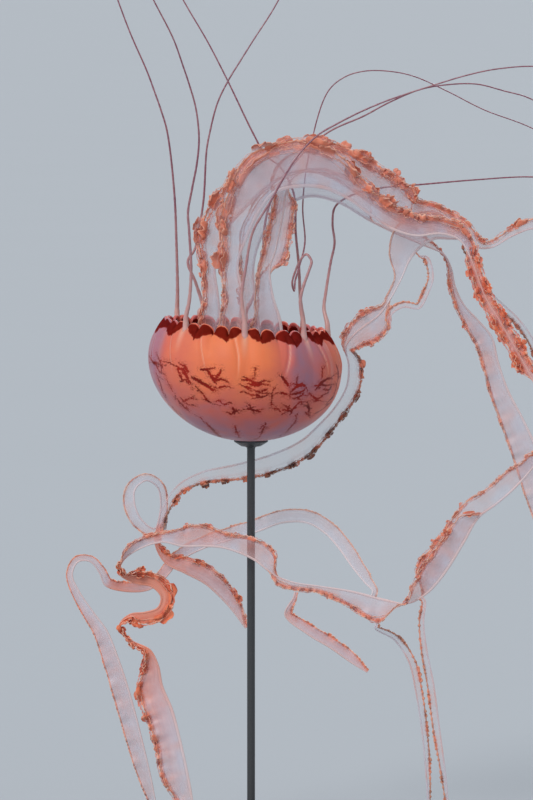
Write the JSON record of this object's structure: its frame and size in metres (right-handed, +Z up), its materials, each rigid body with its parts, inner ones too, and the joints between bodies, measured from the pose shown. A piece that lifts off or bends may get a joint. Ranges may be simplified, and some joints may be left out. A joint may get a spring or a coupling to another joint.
{
  "type": "sea nettle jellyfish model on a stand",
  "caption": "Life-size still model of a sea nettle swimming bell down, with trailing oral arms and tentacles, on a rod stand.",
  "frame": {"origin": "middle of the underside of the stand's base", "axes": "+Z up, from the bell's crown to its mouth; +X to the right as seen from the front; +Y to the back"},
  "size_m": [0.5491, 0.22, 0.916],
  "materials": {
    "bell_flesh": "wet, translucent, peach with maroon marks",
    "arm_membrane": "wet, translucent, pale lavender with orange frilled edges",
    "tentacle": "wet, maroon pink",
    "stand_metal": "satin dark grey paint on steel"
  },
  "bodies": {
    "root": {"bell": "bell_flesh", "manubrium": "bell_flesh", "tentacle_front_1": "tentacle", "tentacle_front_2": "tentacle", "tentacle_front_right_1": "tentacle", "tentacle_front_right_2": "tentacle", "tentacle_front_right_3": "tentacle", "tentacle_right_1": "tentacle", "tentacle_right_2": "tentacle", "tentacle_back_right_1": "tentacle", "tentacle_back_right_2": "tentacle", "tentacle_back_1": "tentacle", "tentacle_back_2": "tentacle", "tentacle_back_left_1": "tentacle", "tentacle_back_left_2": "tentacle", "tentacle_left_1": "tentacle", "tentacle_left_2": "tentacle", "tentacle_front_left_1": "tentacle", "tentacle_front_left_2": "tentacle", "oral_arm_front_base": "arm_membrane", "oral_arm_front_arch_rise": "arm_membrane", "oral_arm_front_arch_fall": "arm_membrane", "oral_arm_front_flap": "arm_membrane", "oral_arm_front_drop": "arm_membrane", "oral_arm_front_bend": "arm_membrane", "oral_arm_front_swag": "arm_membrane", "oral_arm_front_sway": "arm_membrane", "oral_arm_front_knot": "arm_membrane", "oral_arm_front_curl": "arm_membrane", "oral_arm_front_tail": "arm_membrane", "oral_arm_left_base": "arm_membrane", "oral_arm_left_arch_rise": "arm_membrane", "oral_arm_left_arch_fall": "arm_membrane", "oral_arm_left_ledge": "arm_membrane", "oral_arm_right_base": "arm_membrane", "oral_arm_right_ruff": "arm_membrane", "oral_arm_right_arch": "arm_membrane", "oral_arm_right_fold": "arm_membrane", "oral_arm_right_slant": "arm_membrane", "oral_arm_right_shoulder": "arm_membrane", "oral_arm_right_side": "arm_membrane", "oral_arm_right_trail": "arm_membrane", "oral_arm_right_loop": "arm_membrane", "oral_arm_right_tail": "arm_membrane", "oral_arm_back_base": "arm_membrane", "oral_arm_back_arch": "arm_membrane", "oral_arm_back_ledge": "arm_membrane", "oral_arm_back_drape": "arm_membrane", "oral_arm_lip_swing": "arm_membrane", "oral_arm_lip_slope": "arm_membrane", "oral_arm_lip_loop": "arm_membrane", "oral_arm_lip_tail": "arm_membrane", "oral_arm_shred_end": "arm_membrane", "oral_arm_strand_inner": "arm_membrane", "oral_arm_streamer_outer": "arm_membrane", "oral_arm_fringe_fall": "arm_membrane", "oral_arm_tassel_fall": "arm_membrane", "stand_base": "stand_metal", "stand_rod": "stand_metal"}
  },
  "joints": []
}
